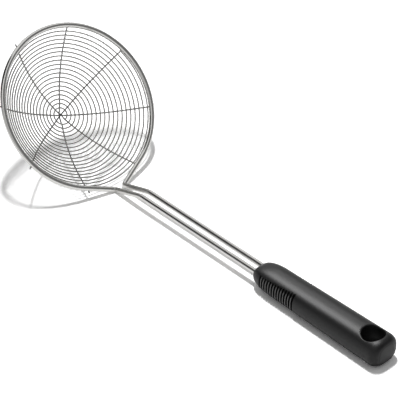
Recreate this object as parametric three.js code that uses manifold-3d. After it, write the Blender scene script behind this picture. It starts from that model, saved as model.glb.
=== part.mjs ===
// Wire skimmer: a spiral wire bowl on a bent wire frame, with a soft grip that has a hanging hole.
// Millimetres, +Z up. The tool lies as on a table: it rests on its neck and on the butt of its grip.
import * as THREE from 'three';
import { mergeVertices } from 'three/addons/utils/BufferGeometryUtils.js';
import Module from 'manifold-3d';

const CLEARANCE = 0.3; // between pieces that touch

// Frame wire: rim, neck and both rods of the shaft, bent from one wire
const FRAME_WIRE = 4.5; // diameter
const RIM_DIAMETER = 140; // outside
const RIM_TILT = THREE.MathUtils.degToRad(49.5); // rim plane against the shaft
const ROD_SPACING = 8.75; // between the rods' centre lines
const RIM_BEND = 3.5; // radius where the rim turns out into the neck
const NECK_BEND = 3.5; // radius where the neck turns out of the rim plane
const NECK_STRAIGHT = 0.3; // straight wire between those two bends
const NECK_ANGLE = THREE.MathUtils.degToRad(17.7); // rise of the neck against the shaft
const SHAFT_BEND = 16; // radius where the neck turns into the shaft
const SHAFT_LENGTH = 130.3; // from that bend to the nose of the grip
const ROD_INSERTION = 72; // length of rod inside the grip
const ROD_RISE = 0.6; // rods above the grip's axis
const FRAME_SIDES = 10;
const RIM_STEPS = 72;

// Bowl: bowed wires that cross at the middle and seat under the rim, and a spiral that lies on them
const CROSS_WIRE = 1.2; // diameter
const CROSS_COUNT = 4;
const LONG_TAIL = 2.6; // wire past its seat under the rim, at one end
const SHORT_TAIL = 0.8; // and at the other
const BOWL_ANGLE = THREE.MathUtils.degToRad(41.7); // slope of the bowl at the rim
const CROSS_RELIEF = 10; // radius inside which the lower wires bow to pass each other
const CROSS_STEPS = 44;
const CROSS_SIDES = 6;
const SPIRAL_WIRE = 1.2; // diameter
const SPIRAL_PITCH = 3.63; // along the bowl's wall
const SPIRAL_START = 4.8; // first radius
const SPIRAL_MARGIN = 3.4; // wall left free between the spiral and its seat under the rim
const SPIRAL_TAIL = 1.2; // straight wire at each end
const SPIRAL_STEPS = 24; // in a turn
const SPIRAL_SIDES = 6;

// Grip: soft moulding over a hard core that holds the rods
const GRIP_LENGTH = 129.6;
const BUTT_WIDTH = 27.1;
const BUTT_HEIGHT = 23.2;
const NOSE_WIDTH = 23.9;
const NOSE_HEIGHT = 18.6;
const SQUARENESS = 2.8; // exponent of the section, where 2 is an ellipse
const NOSE_TAPER = 18.5; // length of the round nose
const NOSE_INSET = 5.6; // how far its front is drawn in
const BUTT_TAPER = 8.5; // length of the round butt
const BUTT_INSET = 3.1;
const GRIP_WALL = 3.6; // over the core
const CORE_SETBACK = 6; // from the nose to the core
const CORE_OVERHANG = 20; // core past the ends of the rods
const HOLE_DIAMETER = 18.2;
const HOLE_INSET = 14.4; // from the butt to the middle of the hole
const SECTION_POINTS = 32;
const ROUND_STEPS = 6;

// Fins: slots cut across both sides of the grip, behind its nose
const FIN_COUNT = 14;
const FIN_PITCH = 2.63;
const FIN_SLOT = 1.4; // width
const FIN_DEPTH = 2.2;
const FIN_INSET = 11; // from the nose to the middle of the first slot
const FIN_TOP_FRONT = 6.1; // upper end of the first slot, above the grip's axis
const FIN_TOP_REAR = 8; // and of the last slot
const FIN_BOTTOM = -8.4; // lower ends
const FIN_WEB = 12; // width left whole between the slots of both sides

const rimRadius = (RIM_DIAMETER - FRAME_WIRE) / 2;
const rodOffset = ROD_SPACING / 2;

// The grip lies on the strip between its hole and its butt.
const restInset = HOLE_INSET - HOLE_DIAMETER / 2;
const restShare = 1 - restInset / GRIP_LENGTH;
const restRound = BUTT_INSET * (1 - Math.sqrt(1 - Math.max(0, 1 - restInset / BUTT_TAPER) ** 2));
const axisHeight = THREE.MathUtils.lerp(NOSE_HEIGHT, BUTT_HEIGHT, restShare) / 2 - restRound;
const rodHeight = axisHeight + ROD_RISE;

const alongX = new THREE.Vector3(1, 0, 0);
const alongY = new THREE.Vector3(0, 1, 0);

const steel = new THREE.MeshStandardMaterial({ color: 0xb9bab8, roughness: 0.16, metalness: 1 });
const plastic = new THREE.MeshStandardMaterial({ color: 0x2b2b2c, roughness: 0.5, metalness: 0 });
const rubber = new THREE.MeshStandardMaterial({ color: 0x1c1c1d, roughness: 0.55, metalness: 0 });

// Wires: a round section swept along a list of points

class WirePath extends THREE.Curve {
  constructor(points) {
    super();
    this.points = points;
  }

  indexAt(u) {
    return Math.round(u * (this.points.length - 1));
  }

  getPointAt(u) {
    return this.points[this.indexAt(u)].clone();
  }

  getTangentAt(u) {
    const i = this.indexAt(u);
    const before = this.points[Math.max(i - 1, 0)];
    const after = this.points[Math.min(i + 1, this.points.length - 1)];
    return after.clone().sub(before).normalize();
  }
}

function wire(points, diameter, sides) {
  const section = [];
  for (let i = 0; i < sides; i++) {
    const angle = (2 * Math.PI * i) / sides;
    section.push(new THREE.Vector2(Math.cos(angle), Math.sin(angle)).multiplyScalar(diameter / 2));
  }
  const path = new WirePath(points);
  return new THREE.ExtrudeGeometry(new THREE.Shape(section), { steps: points.length - 1, extrudePath: path });
}

// Arc about a centre that starts along axisA and turns towards axisB
function arc(centre, axisA, axisB, radius, from, to, steps) {
  const points = [];
  for (let i = 0; i <= steps; i++) {
    const angle = THREE.MathUtils.lerp(from, to, i / steps);
    const point = centre.clone().addScaledVector(axisA, radius * Math.cos(angle));
    points.push(point.addScaledVector(axisB, radius * Math.sin(angle)));
  }
  return points;
}

// Round corner between two straight runs of wire
function bend(corner, incoming, outgoing, radius, steps) {
  const turn = incoming.angleTo(outgoing);
  const side = outgoing.clone().addScaledVector(incoming, -Math.cos(turn)).normalize();
  const start = corner.clone().addScaledVector(incoming, -radius * Math.tan(turn / 2));
  const centre = start.clone().addScaledVector(side, radius);
  return arc(centre, side.clone().negate(), incoming, radius, 0, turn, steps);
}

// Frame: the rim leaves its circle in a bend to each rod, whose centre lies outside the circle.
// The neck then turns up to the shaft in a bend that just touches the table.

const bendReach = Math.sqrt((rimRadius + RIM_BEND) ** 2 - (rodOffset + RIM_BEND) ** 2);
const bendAngle = Math.atan2(rodOffset + RIM_BEND, bendReach);

const neckTurn = RIM_TILT + NECK_ANGLE;
const neckReach = bendReach + NECK_STRAIGHT + NECK_BEND * Math.tan(neckTurn / 2);
const neckLift = NECK_BEND * (Math.cos((RIM_TILT - NECK_ANGLE) / 2) / Math.cos(neckTurn / 2) - 1);
const neckHeight = FRAME_WIRE / 2 - neckLift;
const rimHeight = neckHeight + neckReach * Math.sin(RIM_TILT);

const neckX = neckReach * Math.cos(RIM_TILT);
const shaftX = neckX + (rodHeight - neckHeight) / Math.tan(NECK_ANGLE);
const noseX = shaftX + SHAFT_LENGTH;
const buttX = noseX + GRIP_LENGTH;
const rodEndX = noseX + ROD_INSERTION;

// The bowl's own frame has the rim in its XY plane, with the neck on +X.
const bowl = new THREE.Group();
bowl.position.z = rimHeight;
bowl.rotation.y = RIM_TILT;
bowl.updateMatrixWorld();

// Half of the frame wire, on the +Y side, from the end of the rod to the far side of the rim
function halfFrame() {
  const neckCorner = new THREE.Vector3(neckX, rodOffset, neckHeight);
  const shaftCorner = new THREE.Vector3(shaftX, rodOffset, rodHeight);
  const towardsBowl = alongX.clone().negate();
  const downNeck = neckCorner.clone().sub(shaftCorner).normalize();
  const upRim = towardsBowl.clone().transformDirection(bowl.matrixWorld);

  const rod = [rodEndX, noseX, (noseX + shaftX) / 2].map((x) => new THREE.Vector3(x, rodOffset, rodHeight));
  const shaftBend = bend(shaftCorner, towardsBowl, downNeck, SHAFT_BEND, 5);
  const neckBend = bend(neckCorner, downNeck, upRim, NECK_BEND, 7);

  const outside = new THREE.Vector3(bendReach, rodOffset + RIM_BEND, 0);
  const across = alongY.clone().negate();
  const rimBend = arc(outside, across, towardsBowl, RIM_BEND, 0, Math.PI / 2 - bendAngle, 6);
  const rim = arc(new THREE.Vector3(), alongX, alongY, rimRadius, bendAngle, Math.PI, RIM_STEPS / 2);
  const inRimPlane = [...rimBend, ...rim.slice(1)].map((point) => point.applyMatrix4(bowl.matrixWorld));
  return [...rod, ...shaftBend, ...neckBend, ...inRimPlane];
}

function frameWire() {
  const half = halfFrame();
  const back = half.slice(0, -1).reverse();
  const otherHalf = back.map((point) => new THREE.Vector3(point.x, -point.y, point.z));
  return wire([...half, ...otherHalf], FRAME_WIRE, FRAME_SIDES);
}

// Bowl: the cross wires lie on a paraboloid that meets the rim from below at the bowl's angle.

const seatGap = (FRAME_WIRE + CROSS_WIRE) / 2 + CLEARANCE;
const seatRadius = rimRadius + seatGap * Math.sin(BOWL_ANGLE);
const seatDepth = seatGap * Math.cos(BOWL_ANGLE);
const bowlSlope = Math.tan(BOWL_ANGLE) / seatRadius; // gain of the wall's slope per millimetre of radius
const bowlDepth = seatDepth + (bowlSlope * seatRadius ** 2) / 2;
const layer = CROSS_WIRE + CLEARANCE;
const topRelief = SPIRAL_START - (SPIRAL_WIRE + CROSS_WIRE) / 2;

const wallDepth = (radius) => bowlDepth - (bowlSlope * radius ** 2) / 2;

// The uppermost wire bows up by a layer at the middle, the next runs straight and the others bow down.
function relief(index, radius) {
  const reach = index === 0 ? topRelief : CROSS_RELIEF;
  const inside = Math.max(0, 1 - (radius / reach) ** 2);
  return (index - 1) * layer * inside ** 2;
}

function crossWire(index) {
  const angle = ((index + 0.5) * Math.PI) / CROSS_COUNT;
  const at = (radius, depth) => new THREE.Vector3(radius * Math.cos(angle), radius * Math.sin(angle), -depth);
  const tail = (side, length) => {
    const radius = seatRadius + length * Math.cos(BOWL_ANGLE);
    return at(side * radius, seatDepth - length * Math.sin(BOWL_ANGLE));
  };
  const points = [tail(-1, LONG_TAIL)];
  for (let i = 0; i <= CROSS_STEPS; i++) {
    const share = (2 * i) / CROSS_STEPS - 1; // from end to end, with closer steps at the middle
    const radius = seatRadius * share * Math.sqrt(Math.abs(share));
    points.push(at(radius, wallDepth(radius) + relief(index, radius)));
  }
  points.push(tail(1, SHORT_TAIL));
  return wire(points, CROSS_WIRE, CROSS_SIDES);
}

// Length of the wall from the middle of the bowl to a radius, and the radius at which it has a given length
function wallLength(radius) {
  const slope = bowlSlope * radius;
  return (radius * Math.hypot(1, slope) + Math.asinh(slope) / bowlSlope) / 2;
}

function radiusAtLength(length) {
  let radius = length;
  for (let i = 0; i < 8; i++) {
    radius -= (wallLength(radius) - length) / Math.hypot(1, bowlSlope * radius);
  }
  return radius;
}

// The spiral starts and ends on a cross wire, a wire's thickness inside the wall.
const spiralRoom = wallLength(seatRadius) - SPIRAL_MARGIN - SPIRAL_START;
const spiralTurns = Math.floor((2 * CROSS_COUNT * spiralRoom) / SPIRAL_PITCH) / (2 * CROSS_COUNT);

function spiralPoints() {
  const standOff = (CROSS_WIRE + SPIRAL_WIRE) / 2 + CLEARANCE;
  const firstAngle = Math.PI / CROSS_COUNT / 2;
  const points = [];
  for (let i = 0; i <= spiralTurns * SPIRAL_STEPS; i++) {
    const turn = i / SPIRAL_STEPS;
    const angle = firstAngle + 2 * Math.PI * turn;
    const wallRadius = radiusAtLength(SPIRAL_START + SPIRAL_PITCH * turn);
    const wallAngle = Math.atan(bowlSlope * wallRadius);
    const radius = wallRadius - standOff * Math.sin(wallAngle);
    const depth = wallDepth(wallRadius) - standOff * Math.cos(wallAngle);
    points.push(new THREE.Vector3(radius * Math.cos(angle), radius * Math.sin(angle), -depth));
  }
  const tail = (end, before) => end.clone().add(end.clone().sub(before).setLength(SPIRAL_TAIL));
  return [tail(points[0], points[1]), ...points, tail(points.at(-1), points.at(-2))];
}

// Least gap between one turn of the spiral and another
function leastGap(points) {
  let least = Infinity;
  for (let i = 0; i < points.length; i++) {
    for (let j = i + SPIRAL_STEPS / 2; j < points.length; j++) {
      least = Math.min(least, points[i].distanceTo(points[j]));
    }
  }
  return least - SPIRAL_WIRE;
}

function spiralWire() {
  const points = spiralPoints();
  console.log(`spiral: least gap between turns ${leastGap(points).toFixed(2)} mm`);
  return wire(points, SPIRAL_WIRE, SPIRAL_SIDES);
}

// Joins and cuts

const wasm = await Module();
wasm.setup();

function solid(geometry) {
  const bare = geometry.clone();
  bare.deleteAttribute('normal');
  bare.deleteAttribute('uv');
  const merged = mergeVertices(bare);
  const vertProperties = new Float32Array(merged.attributes.position.array);
  const triVerts = new Uint32Array(merged.index.array);
  return new wasm.Manifold(new wasm.Mesh({ numProp: 3, vertProperties, triVerts }));
}

function geometryOf(shape) {
  const mesh = shape.getMesh();
  const geometry = new THREE.BufferGeometry();
  geometry.setAttribute('position', new THREE.BufferAttribute(mesh.vertProperties, 3));
  geometry.setIndex(new THREE.BufferAttribute(mesh.triVerts, 1));
  geometry.computeVertexNormals();
  return geometry;
}

// Handle: sections along X that grow from the nose to the butt

function sectionRing(x, inset) {
  const share = (x - noseX) / GRIP_LENGTH;
  const halfWidth = THREE.MathUtils.lerp(NOSE_WIDTH, BUTT_WIDTH, share) / 2 - inset;
  const halfHeight = THREE.MathUtils.lerp(NOSE_HEIGHT, BUTT_HEIGHT, share) / 2 - inset;
  const squared = (value) => Math.sign(value) * Math.abs(value) ** (2 / SQUARENESS);
  const ring = [];
  for (let i = 0; i < SECTION_POINTS; i++) {
    const angle = (2 * Math.PI * i) / SECTION_POINTS;
    const y = halfWidth * squared(Math.cos(angle));
    const z = axisHeight + halfHeight * squared(Math.sin(angle));
    ring.push(new THREE.Vector3(x, y, z));
  }
  return ring;
}

function loft(rings) {
  const corners = rings.flat();
  const count = SECTION_POINTS;
  const faces = [];
  for (let r = 0; r + 1 < rings.length; r++) {
    for (let i = 0; i < count; i++) {
      const a = r * count + i;
      const b = r * count + ((i + 1) % count);
      faces.push(a, b, b + count, a, b + count, a + count);
    }
  }
  const last = (rings.length - 1) * count;
  for (let i = 1; i + 1 < count; i++) {
    faces.push(0, i + 1, i, last, last + i, last + i + 1);
  }
  const geometry = new THREE.BufferGeometry().setFromPoints(corners);
  geometry.setIndex(faces);
  return geometry;
}

// Plain bar with the grip's section, drawn in by an inset
const bar = (fromX, toX, inset) => loft([sectionRing(fromX, inset), sectionRing(toX, inset)]);

function roundedBar() {
  const rings = [];
  for (let i = 0; i <= ROUND_STEPS; i++) {
    const angle = (Math.PI / 2) * (i / ROUND_STEPS);
    rings.push(sectionRing(noseX + NOSE_TAPER * (1 - Math.cos(angle)), NOSE_INSET * (1 - Math.sin(angle))));
  }
  for (let i = ROUND_STEPS; i >= 0; i--) {
    const angle = (Math.PI / 2) * (i / ROUND_STEPS);
    rings.push(sectionRing(buttX - BUTT_TAPER * (1 - Math.cos(angle)), BUTT_INSET * (1 - Math.sin(angle))));
  }
  return loft(rings);
}

const coreStart = noseX + CORE_SETBACK;
const coreEnd = rodEndX + CORE_OVERHANG;

// Room for both rods, from in front of the nose to just past their ends
function rodBores() {
  const start = noseX - CORE_SETBACK;
  const length = rodEndX + CLEARANCE - start;
  const bores = [-rodOffset, rodOffset].map((y) => {
    const bore = new THREE.CylinderGeometry(FRAME_WIRE / 2 + CLEARANCE, FRAME_WIRE / 2 + CLEARANCE, length, 16);
    bore.rotateZ(Math.PI / 2).translate(start + length / 2, y, rodHeight);
    return solid(bore);
  });
  return bores[0].add(bores[1]);
}

function handleCore() {
  return geometryOf(solid(bar(coreStart, coreEnd, GRIP_WALL)).subtract(rodBores()));
}

// Slots across both sides, as deep as the bar that is left standing inside them
function finSlots() {
  const firstX = noseX + FIN_INSET;
  const lastX = firstX + FIN_PITCH * (FIN_COUNT - 1);
  let slots = null;
  for (let i = 0; i < FIN_COUNT; i++) {
    const top = THREE.MathUtils.lerp(FIN_TOP_FRONT, FIN_TOP_REAR, i / (FIN_COUNT - 1));
    for (const side of [-1, 1]) {
      const slot = new THREE.BoxGeometry(FIN_SLOT, BUTT_WIDTH, top - FIN_BOTTOM);
      const y = (side * (FIN_WEB + BUTT_WIDTH)) / 2;
      slot.translate(firstX + FIN_PITCH * i, y, axisHeight + (top + FIN_BOTTOM) / 2);
      slots = slots ? slots.add(solid(slot)) : solid(slot);
    }
  }
  return slots.subtract(solid(bar(firstX - FIN_PITCH, lastX + FIN_PITCH, FIN_DEPTH)));
}

function grip() {
  const hole = new THREE.CylinderGeometry(HOLE_DIAMETER / 2, HOLE_DIAMETER / 2, 2 * BUTT_HEIGHT, 36);
  hole.rotateX(Math.PI / 2).translate(buttX - HOLE_INSET, 0, axisHeight);
  const cavity = bar(coreStart - CLEARANCE, coreEnd + CLEARANCE, GRIP_WALL - CLEARANCE);
  const body = solid(roundedBar()).subtract(solid(cavity)).subtract(rodBores());
  return geometryOf(body.subtract(solid(hole)).subtract(finSlots()));
}

// Assembly

function piece(name, geometry, material) {
  const mesh = new THREE.Mesh(geometry, material);
  mesh.name = name;
  return mesh;
}

for (let i = 0; i < CROSS_COUNT; i++) {
  bowl.add(piece(`cross_wire_${i + 1}`, crossWire(i), steel));
}
bowl.add(piece('spiral_wire', spiralWire(), steel));

const skimmer = new THREE.Group();
skimmer.add(bowl);
skimmer.add(piece('frame_wire', frameWire(), steel));
skimmer.add(piece('handle_core', handleCore(), plastic));
skimmer.add(piece('grip', grip(), rubber));

// The origin is below the middle of the whole tool, on the table.
const extent = new THREE.Box3().setFromObject(skimmer, true);
const middle = extent.getCenter(new THREE.Vector3());
skimmer.position.set(-middle.x, -middle.y, -extent.min.z);

export default skimmer;
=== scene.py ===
"""Wire skimmer on a white table: a spiral wire bowl on a bent wire frame, with a soft black grip."""
import math

import bmesh
import bpy
from mathutils import Matrix, Vector, noise


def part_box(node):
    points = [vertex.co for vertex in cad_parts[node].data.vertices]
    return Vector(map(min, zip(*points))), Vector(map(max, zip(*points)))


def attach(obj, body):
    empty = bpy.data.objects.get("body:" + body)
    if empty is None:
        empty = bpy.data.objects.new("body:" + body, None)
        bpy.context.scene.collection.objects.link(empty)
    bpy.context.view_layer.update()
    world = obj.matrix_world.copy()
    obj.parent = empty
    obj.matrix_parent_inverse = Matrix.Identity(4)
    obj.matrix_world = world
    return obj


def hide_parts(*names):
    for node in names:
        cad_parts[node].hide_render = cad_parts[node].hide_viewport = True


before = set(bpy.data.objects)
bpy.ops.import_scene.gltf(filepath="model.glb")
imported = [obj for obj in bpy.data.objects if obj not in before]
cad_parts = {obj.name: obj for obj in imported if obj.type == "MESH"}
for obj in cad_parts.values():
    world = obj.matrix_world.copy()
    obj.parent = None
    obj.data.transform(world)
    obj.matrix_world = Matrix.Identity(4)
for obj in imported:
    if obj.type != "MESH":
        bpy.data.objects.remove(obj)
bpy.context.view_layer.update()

MM = 0.001
X, Y, Z = Vector((1, 0, 0)), Vector((0, 1, 0)), Vector((0, 0, 1))

# Sizes of the frame wire
FRAME_WIRE = 4.4 * MM
RIM_RADIUS = 67.66 * MM
RIM_TILT = math.radians(49.5)
ROD_OFFSET = 4.375 * MM  # of each rod from the middle of the shaft
NECK_REACH = 73.35 * MM  # from the middle of the rim to the corner of the neck
NECK_BEND = 2.65 * MM
NECK_ANGLE = math.radians(17.7)
SHAFT_BEND = 16 * MM
SHAFT_LENGTH = 130.55 * MM  # from the shaft's corner to the nose of the grip
ROD_RISE = 0.6 * MM  # rods above the grip's axis

# Sizes of the bowl
CROSS_WIRE = 1.2 * MM
CROSS_COUNT = 4
LONG_TAIL = 2.6 * MM  # of a cross wire past the rim at one end
SHORT_TAIL = 0.8 * MM  # and at its other end
BOWL_ANGLE = math.radians(41.7)  # slope of the wall under the rim
SEAT_GAP = 2.72 * MM  # between the middle of the rim's wire and of a cross wire welded under it
LAYER = 1.15 * MM  # between the middles of two cross wires that are welded on each other
CROSS_RELIEF = 10 * MM  # radius inside which the cross wires make room for each other
SPIRAL_WIRE = 1.2 * MM
SPIRAL_PITCH = 3.63 * MM
SPIRAL_START = 4.8 * MM
SPIRAL_TURNS = 19.25
SPIRAL_END = 1.2 * MM  # straight piece past the first and the last weld
STAND_OFF = 1.12 * MM  # between the middles of the spiral and of a cross wire

# Sizes of wire ends and weld beads
END_BULGE = 0.35  # share of the wire's radius
END_FLAT = 0.35  # radius of the flat on the bulge, as a share
END_ANGLES = 30, 60, 85  # degrees round the bulge
SPIRAL_BEAD = Vector((0.62, 0.62, 0.5)) * MM
RIM_BEAD = Vector((1.25, 0.85, 0.5)) * MM
RIM_BEAD_RISE = 0.42 * CROSS_WIRE
RIM_BEAD_SEED = 40
BEAD_UNEVEN = 0.12
BEAD_GRAIN = 1.4
LOOK_AHEAD = 0.01  # turns, for the direction of the wire under a bead

# Sizes of the grip
NOSE_WIDTH, NOSE_HEIGHT = 23.9 * MM, 18.6 * MM
BUTT_WIDTH, BUTT_HEIGHT = 27.0 * MM, 22.75 * MM
TOP_SQUARENESS, BOTTOM_SQUARENESS = 2.6, 2.8
NOSE_TAPER, NOSE_INSET = 18.5 * MM, 5.6 * MM  # length and depth of the rounding
BUTT_TAPER, BUTT_INSET = 7.5 * MM, 3.9 * MM
BUTT_SIDE_INSET = 1.6 * MM  # more on each side
BUTT_CROWN = 0.4 * MM
CROWN_POWER = 0.9

# Sizes of the hanging hole
HOLE_RADIUS = 8.9 * MM
HOLE_INSET = 14.4 * MM  # from the butt to the middle of the hole
HOLE_SOFT = 0.8 * MM  # rounding of its edges
HOLE_STEP = 1.4 * MM  # by which its lower half is narrower
STEP_HEIGHT = 0.4 * MM  # over which it narrows
CUTTER_SPARE = 6 * MM  # reach of the hole's cutter past the surface

# Sizes of the finned patches
FIN_COUNT = 14  # slots
FIN_PITCH = 2.63 * MM
FIN_SLOT = 1.75 * MM
FIN_DEPTH = 2.45 * MM
FIN_INSET = 11 * MM  # from the nose to the first slot
FIN_TOP_FRONT, FIN_TOP_REAR = 6.1 * MM, 8.2 * MM  # over the grip's axis
FIN_BOTTOM = -8.4 * MM
FIN_EDGE = 0.3 * MM  # rounding of the fins
EDGE_SHARES = 1, 0.6, 0.3, 0.1, 0  # of that rounding, where it has a ring
SLOT_FILLET = ((0.03, 0.3), (0.1, 0.1), (0.3, 0.0))  # mm from a slot's wall, mm over its floor
RUN_OUT, RUN_IN = 0.3 * MM, 0.5 * MM  # blend of a slot's end, past and inside its height

# Counts for the meshes
FRAME_SIDES, CROSS_SIDES, SPIRAL_SIDES = 32, 14, 12
ROD_STEPS, SHAFT_BEND_STEPS, NECK_STEPS, NECK_BEND_STEPS = 40, 16, 8, 24
TOUCH_STEPS, RIM_STEPS = 12, 160
CROSS_STEPS = 160
TURN_STEPS = 72
SECTION_POINTS = 168
NOSE_STEPS, BODY_STEPS, BUTT_STEPS, CROWN_STEPS = 24, 60, 20, 15
HOLE_POINTS, HOLE_SOFT_STEPS = 96, 8
NEWTON_ROUNDS = 8

# Places taken from the frame
grip_low, grip_high = (Vector(corner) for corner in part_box("grip"))
frame_high = Vector(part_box("frame_wire")[1])
NOSE_X, BUTT_X = grip_low.x, grip_high.x
GRIP_LENGTH = BUTT_X - NOSE_X
AXIS = (grip_low.z + grip_high.z) / 2
ROD_HEIGHT = AXIS + ROD_RISE


# Meshes

def add_object(name, data):
    obj = bpy.data.objects.new(name, data)
    bpy.context.scene.collection.objects.link(obj)
    return obj


def make_smooth(mesh):
    mesh.polygons.foreach_set("use_smooth", [True] * len(mesh.polygons))


def smooth_mesh(name, vertices, faces):
    mesh = bpy.data.meshes.new(name)
    mesh.from_pydata([tuple(v) for v in vertices], [], faces)
    make_smooth(mesh)
    mesh.update()
    return mesh


def directions(points):
    """Unit tangent at each point of a path."""
    last = len(points) - 1
    return [(points[min(i + 1, last)] - points[max(i - 1, 0)]).normalized() for i in range(last + 1)]


def wire_rings(points, radius):
    """Place, direction and radius of each ring of a wire with slightly rounded ends."""
    tangents = directions(points)
    rings = [(point, tangent, radius) for point, tangent in zip(points, tangents)]
    for degrees in END_ANGLES:
        angle = math.radians(degrees)
        out = END_BULGE * radius * math.sin(angle)
        share = END_FLAT if degrees == END_ANGLES[-1] else 1 - END_BULGE * (1 - math.cos(angle))
        rings.insert(0, (points[0] - tangents[0] * out, tangents[0], radius * share))
        rings.append((points[-1] + tangents[-1] * out, tangents[-1], radius * share))
    return rings


def tube(name, points, diameter, sides):
    """Round wire along a path, with UVs in metres along it."""
    rings = wire_rings(points, diameter / 2)
    side = rings[0][1].orthogonal().normalized()
    vertices, lengths = [], [0.0]
    for i, (point, tangent, radius) in enumerate(rings):
        side = (side - tangent * side.dot(tangent)).normalized()
        other = tangent.cross(side)
        if i:
            lengths.append(lengths[-1] + (point - rings[i - 1][0]).length)
        vertices += arc(point, side, other, radius, 0, 2 * math.pi, sides)[:-1]
    faces, coords = [], []
    for i in range(len(rings) - 1):
        start, end = lengths[i], lengths[i + 1]
        for j in range(sides):
            k = (j + 1) % sides
            faces.append((i * sides + j, i * sides + k, (i + 1) * sides + k, (i + 1) * sides + j))
            a, b = j / sides, (j + 1) / sides
            coords += [(start, a), (start, b), (end, b), (end, a)]
    top = (len(rings) - 1) * sides
    faces += [tuple(reversed(range(sides))), tuple(range(top, top + sides))]
    coords += [(0.0, 0.0)] * sides + [(lengths[-1], 0.0)] * sides
    mesh = smooth_mesh(name, vertices, faces)
    layer = mesh.uv_layers.new(name="wire")
    layer.data.foreach_set("uv", [c for pair in coords for c in pair])
    return mesh


def arc(centre, axis_a, axis_b, radius, start, end, steps):
    points = []
    for i in range(steps + 1):
        angle = start + (end - start) * i / steps
        points.append(centre + axis_a * (radius * math.cos(angle)) + axis_b * (radius * math.sin(angle)))
    return points


def bend(corner, incoming, outgoing, radius, steps):
    """Round corner between two straight runs of wire."""
    turn = incoming.angle(outgoing)
    side = (outgoing - incoming * math.cos(turn)).normalized()
    centre = corner - incoming * (radius * math.tan(turn / 2)) + side * radius
    return arc(centre, -side, incoming, radius, 0, turn, steps)


def straight(start, end, steps):
    """Points between two ends, without the ends."""
    return [start.lerp(end, i / steps) for i in range(1, steps)]


# Frame wire

# The wire runs straight from the neck's corner to where it touches the rim.
touch_angle = math.atan2(ROD_OFFSET, NECK_REACH)
touch_angle += math.acos(RIM_RADIUS / math.hypot(NECK_REACH, ROD_OFFSET))
touch = Vector((math.cos(touch_angle), math.sin(touch_angle), 0)) * RIM_RADIUS
tilt = Matrix.Rotation(RIM_TILT, 4, "Y")
up_rim = tilt @ (touch - Vector((NECK_REACH, ROD_OFFSET, 0))).normalized()
down_neck = Vector((-math.cos(NECK_ANGLE), 0, -math.sin(NECK_ANGLE)))

# The neck's bend rests on the table, and the rods run on into the grip.
neck_turn = down_neck.angle(up_rim)
inward = (up_rim - down_neck).normalized()
neck_height = FRAME_WIRE / 2 - NECK_BEND * (1 / math.cos(neck_turn / 2) - 1) * inward.z
rim_height = neck_height + NECK_REACH * math.sin(RIM_TILT)
shaft_x = NOSE_X - SHAFT_LENGTH
neck_x = shaft_x - (ROD_HEIGHT - neck_height) / math.tan(NECK_ANGLE)
rim_x = neck_x - NECK_REACH * math.cos(RIM_TILT)

# The bowl's own frame has the rim in its XY plane, with the neck on +X.
bowl = Matrix.Translation((rim_x, 0, rim_height)) @ tilt


def half_frame():
    """The frame wire on the +Y side, from the end of the rod to the far side of the rim."""
    neck_corner = Vector((neck_x, ROD_OFFSET, neck_height))
    shaft_corner = Vector((shaft_x, ROD_OFFSET, ROD_HEIGHT))
    rod_end = Vector((frame_high.x, ROD_OFFSET, ROD_HEIGHT))
    shaft_bend = bend(shaft_corner, -X, down_neck, SHAFT_BEND, SHAFT_BEND_STEPS)
    neck_bend = bend(neck_corner, down_neck, up_rim, NECK_BEND, NECK_BEND_STEPS)
    rim = [bowl @ p for p in arc(Vector(), X, Y, RIM_RADIUS, touch_angle, math.pi, RIM_STEPS)]
    rod = [rod_end] + straight(rod_end, shaft_bend[0], ROD_STEPS)
    neck = straight(shaft_bend[-1], neck_bend[0], NECK_STEPS)
    touching = straight(neck_bend[-1], rim[0], TOUCH_STEPS)
    return rod + shaft_bend + neck + neck_bend + touching + rim


def frame_wire():
    half = half_frame()
    other = [Vector((p.x, -p.y, p.z)) for p in reversed(half[:-1])]
    return tube("frame wire", half + other, FRAME_WIRE, FRAME_SIDES)


# Bowl wires

seat_radius = RIM_RADIUS + SEAT_GAP * math.sin(BOWL_ANGLE)
seat_depth = SEAT_GAP * math.cos(BOWL_ANGLE)
bowl_slope = math.tan(BOWL_ANGLE) / seat_radius
bowl_depth = seat_depth + bowl_slope * seat_radius ** 2 / 2
top_relief = SPIRAL_START - (SPIRAL_WIRE + CROSS_WIRE) / 2


def wall_depth(radius):
    """Depth of the bowl's paraboloid below the rim."""
    return bowl_depth - bowl_slope * radius ** 2 / 2


def relief(index, radius):
    """How far a cross wire lies below the wall near the middle, where the wires cross."""
    reach = top_relief if index == 0 else CROSS_RELIEF
    inside = max(0.0, 1 - (radius / reach) ** 2)
    return (index - 1) * LAYER * inside ** 2


def cross_angle(index):
    return (index + 0.5) * math.pi / CROSS_COUNT


def cross_wire(index):
    """Bowed wire across the bowl, with a straight tail past the rim at each end."""
    angle = cross_angle(index)

    def at(radius, depth):
        return bowl @ Vector((radius * math.cos(angle), radius * math.sin(angle), -depth))

    def tail(side, length):
        radius = seat_radius + length * math.cos(BOWL_ANGLE)
        return at(side * radius, seat_depth - length * math.sin(BOWL_ANGLE))

    points = [tail(-1, LONG_TAIL)]
    for i in range(CROSS_STEPS + 1):
        share = 2 * i / CROSS_STEPS - 1
        radius = seat_radius * share * math.sqrt(abs(share))
        points.append(at(radius, wall_depth(radius) + relief(index, radius)))
    points.append(tail(1, SHORT_TAIL))
    return tube(f"cross wire {index + 1}", points, CROSS_WIRE, CROSS_SIDES)


def radius_at_length(length):
    """Radius that is reached after a length along the wall from its middle."""
    radius = length
    for _ in range(NEWTON_ROUNDS):
        slope = bowl_slope * radius
        stretch = math.hypot(1, slope)
        measured = (radius * stretch + math.asinh(slope) / bowl_slope) / 2
        radius -= (measured - length) / stretch
    return radius


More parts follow.
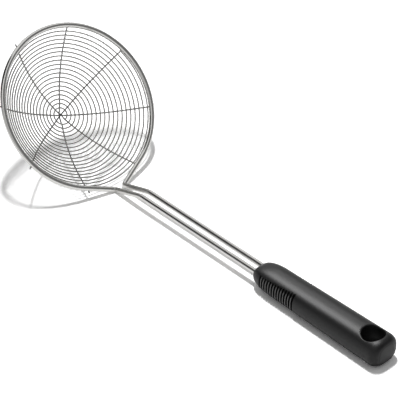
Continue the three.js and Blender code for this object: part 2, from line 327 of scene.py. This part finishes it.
def on_wall(turn, stand_off):
    """Point of the spiral at a turn, in the bowl's frame, and the wall's normal there."""
    angle = cross_angle(0) + 2 * math.pi * turn
    wall_radius = radius_at_length(SPIRAL_START + SPIRAL_PITCH * turn)
    slope = math.atan(bowl_slope * wall_radius)
    outward = Vector((math.cos(angle), math.sin(angle), 0))
    normal = Z * math.cos(slope) - outward * math.sin(slope)
    return outward * wall_radius - Z * wall_depth(wall_radius) + normal * stand_off, normal


def spiral_wire():
    count = round(SPIRAL_TURNS * TURN_STEPS)
    points = [bowl @ on_wall(i / TURN_STEPS, STAND_OFF)[0] for i in range(count + 1)]
    start = points[0] + (points[0] - points[1]).normalized() * SPIRAL_END
    end = points[-1] + (points[-1] - points[-2]).normalized() * SPIRAL_END
    return tube("spiral wire", [start] + points + [end], SPIRAL_WIRE, SPIRAL_SIDES)


def add_bead(mesh, place, size, seed):
    """Rounded bead of weld metal, a little uneven."""
    ball = bmesh.ops.create_icosphere(mesh, subdivisions=2, radius=1.0)
    for vertex in ball["verts"]:
        uneven = 1 + BEAD_UNEVEN * noise.noise(vertex.co * BEAD_GRAIN + Vector((seed, 2 * seed, 0)))
        vertex.co = place @ (vertex.co * size * uneven)


def axes_matrix(origin, along, normal):
    """Place with its X axis along a direction and its Z axis near a normal."""
    along = along.normalized()
    across = normal.cross(along).normalized()
    normal = along.cross(across)
    matrix = Matrix((along, across, normal)).transposed().to_4x4()
    matrix.translation = origin
    return matrix


def weld_beads():
    """Beads where the spiral lies on the cross wires, and where those seat under the rim."""
    beads = bmesh.new()
    crossings = round(SPIRAL_TURNS * 2 * CROSS_COUNT)
    for i in range(crossings + 1):
        turn = i / (2 * CROSS_COUNT)
        place, normal = on_wall(turn, STAND_OFF / 2)
        ahead = on_wall(turn + LOOK_AHEAD, STAND_OFF / 2)[0]
        add_bead(beads, bowl @ axes_matrix(place, ahead - place, normal), SPIRAL_BEAD, i)
    for i in range(2 * CROSS_COUNT):
        angle = cross_angle(i)
        outward = Vector((math.cos(angle), math.sin(angle), 0))
        normal = Z * math.cos(BOWL_ANGLE) - outward * math.sin(BOWL_ANGLE)
        along = outward * math.cos(BOWL_ANGLE) + Z * math.sin(BOWL_ANGLE)
        place = outward * seat_radius - Z * seat_depth + normal * RIM_BEAD_RISE
        add_bead(beads, bowl @ axes_matrix(place, along, normal), RIM_BEAD, RIM_BEAD_SEED + i)
    mesh = bpy.data.meshes.new("weld beads")
    beads.to_mesh(mesh)
    beads.free()
    make_smooth(mesh)
    return mesh


# Grip

def half_sizes(x, inset):
    """Half of the grip's width and height at a place, less an inset."""
    share = (x - NOSE_X) / GRIP_LENGTH
    half_width = (NOSE_WIDTH + (BUTT_WIDTH - NOSE_WIDTH) * share) / 2 - inset
    half_height = (NOSE_HEIGHT + (BUTT_HEIGHT - NOSE_HEIGHT) * share) / 2 - inset
    return half_width, half_height


def squareness(upper):
    return TOP_SQUARENESS if upper else BOTTOM_SQUARENESS


def squared(value, upper):
    """Sine or cosine drawn out to a section between an oval and a box."""
    return math.copysign(abs(value) ** (2 / squareness(upper)), value)


def ease(low, high, value):
    """Soft step from 0 at the low value to 1 at the high one."""
    share = min(1.0, max(0.0, (value - low) / (high - low)))
    return share * share * (3 - 2 * share)


def quarter_round(share):
    """Depth of a round edge, as a share, from 0 at its foot to 1 at its tip."""
    return 1 - math.sqrt(1 - min(1, share) ** 2)


def slot_profile():
    """Distance from the middle of a slot and depth there, from the fin's soft edge to the slot's floor."""
    half = FIN_SLOT / 2
    wall = [(half + FIN_EDGE * share, FIN_EDGE * quarter_round(1 - share)) for share in EDGE_SHARES]
    fillet = [(half - aside * MM, FIN_DEPTH - over * MM) for aside, over in SLOT_FILLET]
    return wall + fillet


def fin_stations():
    """Places along the grip and slot depths there."""
    profile = slot_profile()
    stations = []
    for i in range(FIN_COUNT):
        middle = NOSE_X + FIN_INSET + FIN_PITCH * i
        stations += [(middle - away, depth) for away, depth in profile]
        stations += [(middle + away, depth) for away, depth in reversed(profile)]
    return stations


def butt_share(x):
    """Share of the butt's rounding that is reached at a place."""
    return quarter_round(max(0.0, 1 - (BUTT_X - BUTT_CROWN - x) / (BUTT_TAPER - BUTT_CROWN)))


def round_inset(x):
    """How far the section at a place is drawn in by the round nose and butt."""
    nose_share = quarter_round(max(0.0, 1 - (x - NOSE_X) / NOSE_TAPER))
    return NOSE_INSET * nose_share + BUTT_INSET * butt_share(x)


def slot_reach(x, height):
    """Share of a slot's depth at a height over the axis, between the slot's two ends."""
    share = (x - NOSE_X - FIN_INSET) / (FIN_PITCH * (FIN_COUNT - 1))
    top = FIN_TOP_FRONT + (FIN_TOP_REAR - FIN_TOP_FRONT) * share
    over_bottom = ease(FIN_BOTTOM - RUN_OUT, FIN_BOTTOM + RUN_IN, height)
    return over_bottom * (1 - ease(top - RUN_IN, top + RUN_OUT, height))


def section_ring(x, depth):
    """Points round the grip at a place, with slots of a depth in its sides."""
    inset = round_inset(x)
    side_inset = BUTT_SIDE_INSET * butt_share(x)
    half_height = half_sizes(x, inset)[1]
    ring = []
    for i in range(SECTION_POINTS):
        angle = 2 * math.pi * i / SECTION_POINTS
        upper = math.sin(angle) > 0
        across, up = squared(math.cos(angle), upper), squared(math.sin(angle), upper)
        cut = depth * slot_reach(x, half_height * up)
        cut_width, cut_height = half_sizes(x, inset + cut)
        ring.append(Vector((x, (cut_width - side_inset) * across, AXIS + cut_height * up)))
    return ring


def crowded(steps):
    """Shares from 0 to 1 that lie closest together at 0."""
    return [1 - math.cos(math.pi / 2 * i / steps) for i in range(steps + 1)]


def grip_stations():
    """Places and slot depths of the sections from the nose to the butt."""
    fins = fin_stations()
    first_fin, last_fin = fins[0][0], fins[-1][0]
    plain = [NOSE_X + NOSE_TAPER * share for share in crowded(NOSE_STEPS)]
    plain += [BUTT_X - BUTT_CROWN - (BUTT_TAPER - BUTT_CROWN) * share for share in crowded(BUTT_STEPS)]
    body = BUTT_X - BUTT_TAPER - last_fin
    plain += [last_fin + body * i / BODY_STEPS for i in range(1, BODY_STEPS)]
    free = [(x, 0.0) for x in plain if not first_fin <= x <= last_fin]
    return sorted(free + fins)


def crown_rings():
    """Rings that close the butt with a low dome."""
    edge = section_ring(BUTT_X - BUTT_CROWN, 0.0)
    middle = Vector((BUTT_X - BUTT_CROWN, 0, AXIS))
    rings = []
    for i in range(1, CROWN_STEPS):
        angle = math.pi / 2 * i / CROWN_STEPS
        rise = X * (BUTT_CROWN * math.sin(angle) ** CROWN_POWER)
        rings.append([middle + (p - middle) * math.cos(angle) + rise for p in edge])
    return rings


def loft(name, rings):
    """Closed smooth mesh through rings of the same count."""
    count = len(rings[0])
    faces = []
    for r in range(len(rings) - 1):
        for i in range(count):
            a, b = r * count + i, r * count + (i + 1) % count
            faces.append((b, a, a + count, b + count))
    last = (len(rings) - 1) * count
    faces.append(tuple(range(count)))
    faces.append(tuple(reversed(range(last, last + count))))
    mesh = smooth_mesh(name, [v for ring in rings for v in ring], faces)
    shape = bmesh.new()
    shape.from_mesh(mesh)
    bmesh.ops.recalc_face_normals(shape, faces=shape.faces)
    shape.to_mesh(mesh)
    shape.free()
    return mesh


def surface_height(x, y, upper):
    """Height of the grip's surface over its axis at a place, or depth of its underside."""
    half_width, half_height = half_sizes(x, 0)
    power = squareness(upper)
    return half_height * max(0.0, 1 - abs(y / half_width) ** power) ** (1 / power)


def hole_profile():
    """Radius, side and depth of the cutter's rings: side 1 is the top, -1 the underside, 0 the axis."""
    narrow, flare = HOLE_RADIUS - HOLE_STEP, HOLE_RADIUS + HOLE_SOFT
    angles = [math.pi / 2 * i / HOLE_SOFT_STEPS for i in range(HOLE_SOFT_STEPS + 1)]
    soft_edge = [(HOLE_SOFT * (1 - math.sin(a)), HOLE_SOFT * (1 - math.cos(a))) for a in angles]
    upper = [(HOLE_RADIUS + out, 1, depth) for out, depth in soft_edge]
    step = [(HOLE_RADIUS, 0, -STEP_HEIGHT), (narrow, 0, 0.0)]
    lower = [(narrow + out, -1, depth) for out, depth in reversed(soft_edge)]
    return [(flare, 1, -CUTTER_SPARE)] + upper + step + lower + [(flare, -1, -CUTTER_SPARE)]


def hole_cutter():
    """Spool whose flared ends leave soft edges round the hanging hole, with a small step at half depth."""
    centre_x = BUTT_X - HOLE_INSET
    flare = HOLE_RADIUS + HOLE_SOFT
    rings = []
    for radius, side, depth in hole_profile():
        ring = []
        for i in range(HOLE_POINTS):
            angle = 2 * math.pi * i / HOLE_POINTS
            along, across = math.cos(angle), math.sin(angle)
            height = surface_height(centre_x + flare * along, flare * across, side > 0)
            z = AXIS + side * (height - depth) if side else AXIS - depth
            ring.append(Vector((centre_x + radius * along, radius * across, z)))
        rings.append(ring)
    return loft("hole cutter", rings)


def apply_modifiers(obj):
    depsgraph = bpy.context.evaluated_depsgraph_get()
    mesh = bpy.data.meshes.new_from_object(obj.evaluated_get(depsgraph))
    obj.modifiers.clear()
    obj.data = mesh
    return mesh


def grip():
    """Finned rubber body with the hanging hole cut through it."""
    rings = [section_ring(x, depth) for x, depth in grip_stations()] + crown_rings()
    obj = add_object("rubber_grip", loft("rubber_grip", rings))
    cutter = add_object("hole_cutter", hole_cutter())
    cut = obj.modifiers.new("hole", "BOOLEAN")
    cut.object = cutter
    cut.operation = "DIFFERENCE"
    cut.solver = "EXACT"
    mesh = apply_modifiers(obj)
    bpy.data.objects.remove(cutter)
    make_smooth(mesh)
    return obj


# Looks

FRAME_STEEL = (0.62, 0.615, 0.6)
THIN_STEEL = (0.48, 0.475, 0.462)
# Painted shade: the cross wires get a darker steel colour that stands in for the dark surroundings they
# reflect
CROSS_STEEL_PAINTED_DARK = (0.22, 0.22, 0.215)
FRAME_ROUGHNESS = 0.12, 0.28
THIN_ROUGHNESS = 0.12, 0.3
CROSS_ROUGHNESS = 0.16, 0.34
STREAKS = (60, 24, 1)  # in a metre of wire, and round it
CLOUDS = 160.0  # in a metre
STEEL_BUMP = 0.06, 0.05 * MM  # strength and height
RUBBER_DARK = (0.006, 0.006, 0.0062)
RUBBER_LIGHT = (0.010, 0.010, 0.0103)
RUBBER_ROUGHNESS = 0.36, 0.43
RUBBER_SPECULAR = 0.25
RUBBER_MOTTLE, RUBBER_GRAIN = 420.0, 3600.0
RUBBER_BUMP = 0.22, 0.08 * MM
# Painted highlight: a paler colour on the crests of the fins that stands in for the light they catch
CREST_PAINTED_HIGHLIGHT = (0.035, 0.035, 0.0357)
CREST_ROUGHNESS = 0.25
CREST_SPECULAR = 1.0
CREST_BLEND = 0.03  # share of the fins' pitch
CORE_COLOUR = (0.025, 0.025, 0.025)
CORE_ROUGHNESS = 0.45, 0.6
CORE_GRAIN = 900.0

# The colour sockets of a mix node share their names with others, so they go by number.
MIX_SHARE, MIX_FIRST, MIX_SECOND, MIX_RESULT = 0, 6, 7, 2


class Nodes:
    """Short way to add and link the nodes of a material."""

    def __init__(self, name):
        self.material = bpy.data.materials.new(name)
        self.material.use_nodes = True
        self.tree = self.material.node_tree
        self.shader = self.tree.nodes["Principled BSDF"]

    def add(self, kind, **values):
        node = self.tree.nodes.new(kind)
        for key, value in values.items():
            if key in node.inputs:
                node.inputs[key].default_value = value
            else:
                setattr(node, key, value)
        return node

    def link(self, source, target):
        self.tree.links.new(source, target)

    def coordinates(self, kind="Object"):
        return self.add("ShaderNodeTexCoord").outputs[kind]

    def axes(self, coordinates):
        split = self.add("ShaderNodeSeparateXYZ")
        self.link(coordinates, split.inputs[0])
        return split.outputs

    def speckle(self, coordinates, scale, detail=2.0):
        """Noise over coordinates."""
        node = self.add("ShaderNodeTexNoise", Scale=scale, Detail=detail)
        self.link(coordinates, node.inputs["Vector"])
        return node.outputs["Fac"]

    def ranged(self, value, low, high, start=0.0, end=1.0, kind="LINEAR"):
        """From low to high, as a value goes from start to end."""
        node = self.add("ShaderNodeMapRange", interpolation_type=kind, **{
            "From Min": start, "From Max": end, "To Min": low, "To Max": high})
        self.link(value, node.inputs["Value"])
        return node.outputs["Result"]

    def computed(self, operation, value, *numbers):
        """Result of a math node on a value and plain numbers."""
        node = self.add("ShaderNodeMath", operation=operation)
        self.link(value, node.inputs[0])
        for i, number in enumerate(numbers):
            node.inputs[i + 1].default_value = number
        return node.outputs["Value"]

    def product(self, first, second):
        node = self.add("ShaderNodeMath", operation="MULTIPLY")
        self.link(first, node.inputs[0])
        self.link(second, node.inputs[1])
        return node.outputs["Value"]

    def mixed_colours(self, share, first, second):
        node = self.add("ShaderNodeMix", data_type="RGBA")
        self.link(share, node.inputs[MIX_SHARE])
        node.inputs[MIX_FIRST].default_value = (*first, 1)
        node.inputs[MIX_SECOND].default_value = (*second, 1)
        return node

    def bump(self, height, strength, distance):
        node = self.add("ShaderNodeBump", Strength=strength, Distance=distance)
        self.link(height, node.inputs["Height"])
        self.link(node.outputs["Normal"], self.shader.inputs["Normal"])


def polished_steel(name, colour, roughness):
    """Bright steel with fine streaks along the wire and uneven polish."""
    nodes = Nodes(name)
    shader = nodes.shader
    shader.inputs["Base Color"].default_value = (*colour, 1)
    shader.inputs["Metallic"].default_value = 1.0
    mapping = nodes.add("ShaderNodeMapping", Scale=STREAKS)
    nodes.link(nodes.coordinates("UV"), mapping.inputs["Vector"])
    streaks = nodes.speckle(mapping.outputs["Vector"], 1.0, detail=3.0)
    clouds = nodes.speckle(nodes.coordinates(), CLOUDS, detail=4.0)
    nodes.link(nodes.ranged(nodes.product(streaks, clouds), *roughness), shader.inputs["Roughness"])
    nodes.bump(streaks, *STEEL_BUMP)
    return nodes.material


def fin_crests(nodes, coordinates):
    """1 on the crests of the fins, 0 elsewhere."""
    axes = nodes.axes(coordinates)
    first_slot, half_patch = NOSE_X + FIN_INSET, FIN_PITCH * (FIN_COUNT - 1) / 2
    slots = nodes.computed("MULTIPLY_ADD", axes["X"], 1 / FIN_PITCH, -first_slot / FIN_PITCH)
    from_slot = nodes.computed("PINGPONG", slots, 0.5)
    edge = FIN_SLOT / 2 / FIN_PITCH
    crest = nodes.ranged(from_slot, 0.0, 1.0, edge, edge + CREST_BLEND)
    along = nodes.computed("COMPARE", axes["X"], first_slot + half_patch, half_patch)
    half_height = (FIN_TOP_FRONT - FIN_BOTTOM) / 2
    upright = nodes.computed("COMPARE", axes["Z"], AXIS + FIN_BOTTOM + half_height, half_height)
    return nodes.product(crest, nodes.product(along, upright))


def satin_rubber():
    """Black rubber with a fine grain, smoother on the crests of the fins, where a paler colour paints a
    highlight.
    """
    nodes = Nodes("satin rubber")
    shader = nodes.shader
    where = nodes.coordinates()
    crests = fin_crests(nodes, where)
    mottle = nodes.speckle(where, RUBBER_MOTTLE, detail=3.0)
    tint = nodes.mixed_colours(mottle, RUBBER_DARK, RUBBER_LIGHT)
    # Painted highlight: the crests of the fins take the paler crest colour
    painted_crest_highlight = nodes.mixed_colours(crests, RUBBER_DARK, CREST_PAINTED_HIGHLIGHT)
    nodes.link(tint.outputs[MIX_RESULT], painted_crest_highlight.inputs[MIX_FIRST])
    nodes.link(painted_crest_highlight.outputs[MIX_RESULT], shader.inputs["Base Color"])
    rough = nodes.add("ShaderNodeMix", B=CREST_ROUGHNESS)
    nodes.link(crests, rough.inputs["Factor"])
    nodes.link(nodes.ranged(mottle, *RUBBER_ROUGHNESS), rough.inputs["A"])
    nodes.link(rough.outputs["Result"], shader.inputs["Roughness"])
    shine = nodes.ranged(crests, RUBBER_SPECULAR, CREST_SPECULAR)
    nodes.link(shine, shader.inputs["Specular IOR Level"])
    nodes.bump(nodes.speckle(where, RUBBER_GRAIN), *RUBBER_BUMP)
    return nodes.material


def core_plastic():
    """Dark moulded plastic inside the grip."""
    nodes = Nodes("core plastic")
    nodes.shader.inputs["Base Color"].default_value = (*CORE_COLOUR, 1)
    grain = nodes.speckle(nodes.coordinates(), CORE_GRAIN)
    nodes.link(nodes.ranged(grain, *CORE_ROUGHNESS), nodes.shader.inputs["Roughness"])
    return nodes.material


# Pieces

def dress(obj, material, slot, *nodes):
    """Give a piece its material and body, and hide the solids that it stands for. The slot is not used."""
    obj.data.materials.clear()
    obj.data.materials.append(material)
    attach(obj, "root")
    if nodes:
        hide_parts(*nodes)


frame_steel = polished_steel("polished frame wire", FRAME_STEEL, FRAME_ROUGHNESS)
thin_steel = polished_steel("polished thin wire", THIN_STEEL, THIN_ROUGHNESS)
# The cross wires' darker colour is painted shade; their higher roughness is real
cross_steel_painted_dark = polished_steel("rougher cross wire with painted shade", CROSS_STEEL_PAINTED_DARK, CROSS_ROUGHNESS)

dress(add_object("polished_frame", frame_wire()), frame_steel, "polished_wire", "frame_wire")
dress(add_object("polished_spiral", spiral_wire()), thin_steel, "polished_wire", "spiral_wire")
for number in range(CROSS_COUNT):
    wire = add_object(f"polished_cross_{number + 1}", cross_wire(number))
    dress(wire, cross_steel_painted_dark, "polished_wire", f"cross_wire_{number + 1}")
dress(add_object("weld_beads", weld_beads()), thin_steel, "polished_wire")
rubber_grip = grip()
dress(rubber_grip, satin_rubber(), "soft_grip", "grip")
handle_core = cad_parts["handle_core"]
handle_core.data.materials.clear()
handle_core.data.materials.append(core_plastic())


# Stage

CAMERA_PLACE = Vector((808.265, -753.834, 861.636)) * MM
CAMERA_YAW, CAMERA_PITCH = -0.8222, 0.6377
CAMERA_LENS, CAMERA_SENSOR = 162, 36  # mm
CAMERA_RANGE = 20
FLOOR_SIZE = 6.0
FLOOR_DROP = 0.2 * MM
FLOOR_ROUGHNESS = 0.9
FLOOR_WHITE = 0.9  # for the light that the floor throws back
FLOOR_SEEN = 1.65  # for the camera, where faint shadows burn out as in the photograph
FLOOR_FAR = 4.2  # the same at the floor's edge, where the key light is weak
FLOOR_NEAR_RADIUS = 0.8
FLOOR_MIRRORED = 1.25  # in reflections
KEY_PLACE = (-0.229, 0.133, 1.8)
KEY_WIDTH, KEY_DEPTH = 0.13, 0.32
KEY_TURN = math.radians(47)  # its depth lies along the camera's view
KEY_POWER = 20.5
AMBIENT = 0.27
FLAG_RADIUS = 1.2
FLAG_LOW, FLAG_FADE = 1, 16  # degrees over the table: lower edge, end of the fade
SOFTBOX_DIRECTION = Vector((-0.3, 0.14, 0.94)).normalized()
SOFTBOX_DISTANCE = 1.6
SOFTBOX_WIDTH, SOFTBOX_LENGTH = 0.95, 1.5
SOFTBOX_POWER = 54.0


def either_ray(tree, *rays):
    """1 for rays of the given kinds, 0 for others."""
    path = tree.nodes.new("ShaderNodeLightPath")
    total = path.outputs[rays[0]]
    for ray in rays[1:]:
        node = tree.nodes.new("ShaderNodeMath")
        node.operation = "MAXIMUM"
        tree.links.new(total, node.inputs[0])
        tree.links.new(path.outputs[ray], node.inputs[1])
        total = node.outputs["Value"]
    return total


def white_paper():
    """White that differs for the camera, for reflections and for the light that it throws back."""
    nodes = Nodes("white floor")
    nodes.shader.inputs["Roughness"].default_value = FLOOR_ROUGHNESS
    nodes.shader.inputs["Specular IOR Level"].default_value = 0.0
    away = nodes.add("ShaderNodeVectorMath", operation="LENGTH")
    nodes.link(nodes.coordinates(), away.inputs[0])
    seen = nodes.ranged(away.outputs["Value"], FLOOR_SEEN, FLOOR_FAR, FLOOR_NEAR_RADIUS, FLOOR_SIZE / 2)
    mirrored = nodes.ranged(either_ray(nodes.tree, "Is Glossy Ray"), FLOOR_WHITE, FLOOR_MIRRORED)
    white = nodes.add("ShaderNodeMix")
    nodes.link(either_ray(nodes.tree, "Is Camera Ray", "Is Transmission Ray"), white.inputs["Factor"])
    nodes.link(mirrored, white.inputs["A"])
    nodes.link(seen, white.inputs["B"])
    nodes.link(white.outputs["Result"], nodes.shader.inputs["Base Color"])
    return nodes.material


def floor():
    """Square table top, a hair below the object."""
    half = FLOOR_SIZE / 2
    corners = [(-half, -half, 0), (half, -half, 0), (half, half, 0), (-half, half, 0)]
    mesh = bpy.data.meshes.new("floor")
    mesh.from_pydata(corners, [], [(0, 1, 2, 3)])
    mesh.materials.append(white_paper())
    obj = add_object("floor", mesh)
    obj.location.z = -FLOOR_DROP
    return obj


def flag_height(degrees):
    return FLAG_RADIUS * math.sin(math.radians(degrees))


def dome_patch(name, start, end, high):
    """Part of a dome round the object, with its start, end and top in degrees."""
    columns, rows = 32, 12
    vertices, faces = [], []
    for r in range(rows + 1):
        lift = FLAG_LOW + (high - FLAG_LOW) * r / rows
        reach = FLAG_RADIUS * math.cos(math.radians(lift))
        for c in range(columns + 1):
            turn = math.radians(start + (end - start) * c / columns)
            vertices.append((reach * math.cos(turn), reach * math.sin(turn), flag_height(lift)))
    for r in range(rows):
        for c in range(columns):
            a = r * (columns + 1) + c
            faces.append((a, a + 1, a + columns + 2, a + columns + 1))
    return smooth_mesh(name, vertices, faces)


def flag(name, start, end, high, level):
    """Part of a dome, seen in reflections only, that shades the bands on the steel."""
    obj = add_object(name, dome_patch(name, start, end, high))
    nodes = Nodes(name)
    height = nodes.axes(nodes.coordinates())["Z"]
    fade = nodes.ranged(height, 1.0, level, flag_height(FLAG_LOW), flag_height(FLAG_FADE), "SMOOTHSTEP")
    nodes.shader.inputs["Base Color"].default_value = (0, 0, 0, 1)
    nodes.shader.inputs["Specular IOR Level"].default_value = 0.0
    nodes.shader.inputs["Emission Color"].default_value = (1, 1, 1, 1)
    nodes.link(fade, nodes.shader.inputs["Emission Strength"])
    obj.data.materials.append(nodes.material)
    obj.visible_camera = False
    obj.visible_diffuse = False
    obj.visible_transmission = False
    obj.visible_shadow = False
    return obj


def key_light():
    """Soft lamp over the bowl, kept out of the steel's reflections."""
    light = bpy.data.lights.new("key light", "AREA")
    light.shape = "ELLIPSE"
    light.size, light.size_y = KEY_WIDTH, KEY_DEPTH
    light.energy = KEY_POWER
    obj = add_object("key light", light)
    obj.location = KEY_PLACE
    obj.rotation_euler = (0, 0, KEY_TURN)
    obj.visible_glossy = False
    return obj


def reflected_only(lamp, targets):
    """The lamp shows in the reflections of the targets alone."""
    lamp.visible_camera = False
    lamp.visible_diffuse = False
    receivers = bpy.data.collections.new(f"{lamp.name} receivers")
    for target in targets:
        receivers.objects.link(target)
    lamp.light_linking.receiver_collection = receivers


def softbox(*targets):
    """Wide lamp above, a little towards the bowl, that gives the soft highlight on the rubber."""
    light = bpy.data.lights.new("softbox", "AREA")
    light.shape = "RECTANGLE"
    light.size, light.size_y = SOFTBOX_WIDTH, SOFTBOX_LENGTH
    light.energy = SOFTBOX_POWER
    obj = add_object("softbox", light)
    obj.location = SOFTBOX_DIRECTION * SOFTBOX_DISTANCE
    obj.rotation_euler = SOFTBOX_DIRECTION.to_track_quat("Z", "Y").to_euler()
    reflected_only(obj, targets)
    return obj


def white_world():
    """White for the camera and reflections, and a dim even light for the rest."""
    world = bpy.data.worlds.new("white studio")
    bpy.context.scene.world = world
    world.use_nodes = True
    tree = world.node_tree
    background = tree.nodes["Background"]
    background.inputs["Color"].default_value = (1, 1, 1, 1)
    strength = tree.nodes.new("ShaderNodeMapRange")
    strength.inputs["To Min"].default_value = AMBIENT
    strength.inputs["To Max"].default_value = 1.0
    seen = either_ray(tree, "Is Camera Ray", "Is Glossy Ray", "Is Transmission Ray")
    tree.links.new(seen, strength.inputs["Value"])
    tree.links.new(strength.outputs["Result"], background.inputs["Strength"])


def photo_camera():
    """Camera at the photograph's place."""
    camera = bpy.data.cameras.new("photo camera")
    camera.sensor_width = CAMERA_SENSOR
    camera.lens = CAMERA_LENS
    camera.clip_end = CAMERA_RANGE
    obj = add_object("photo camera", camera)
    level = Vector((math.sin(CAMERA_YAW), math.cos(CAMERA_YAW), 0))
    forward = level * math.cos(CAMERA_PITCH) - Z * math.sin(CAMERA_PITCH)
    right = forward.cross(Z).normalized()
    up = right.cross(forward)
    place = Matrix((right, up, -forward)).transposed().to_4x4()
    place.translation = CAMERA_PLACE
    obj.matrix_world = place
    bpy.context.scene.camera = obj


floor()
flag("dark flag left", 188, 238, 72, 0.02)
flag("grey flag near", 238, 335, 60, 0.6)
flag("dark flag right", 335, 455, 72, 0.2)
flag("grey flag far", 100, 188, 30, 0.4)
key_light()
softbox(rubber_grip)
white_world()
photo_camera()
bpy.context.scene.view_settings.view_transform = "Standard"
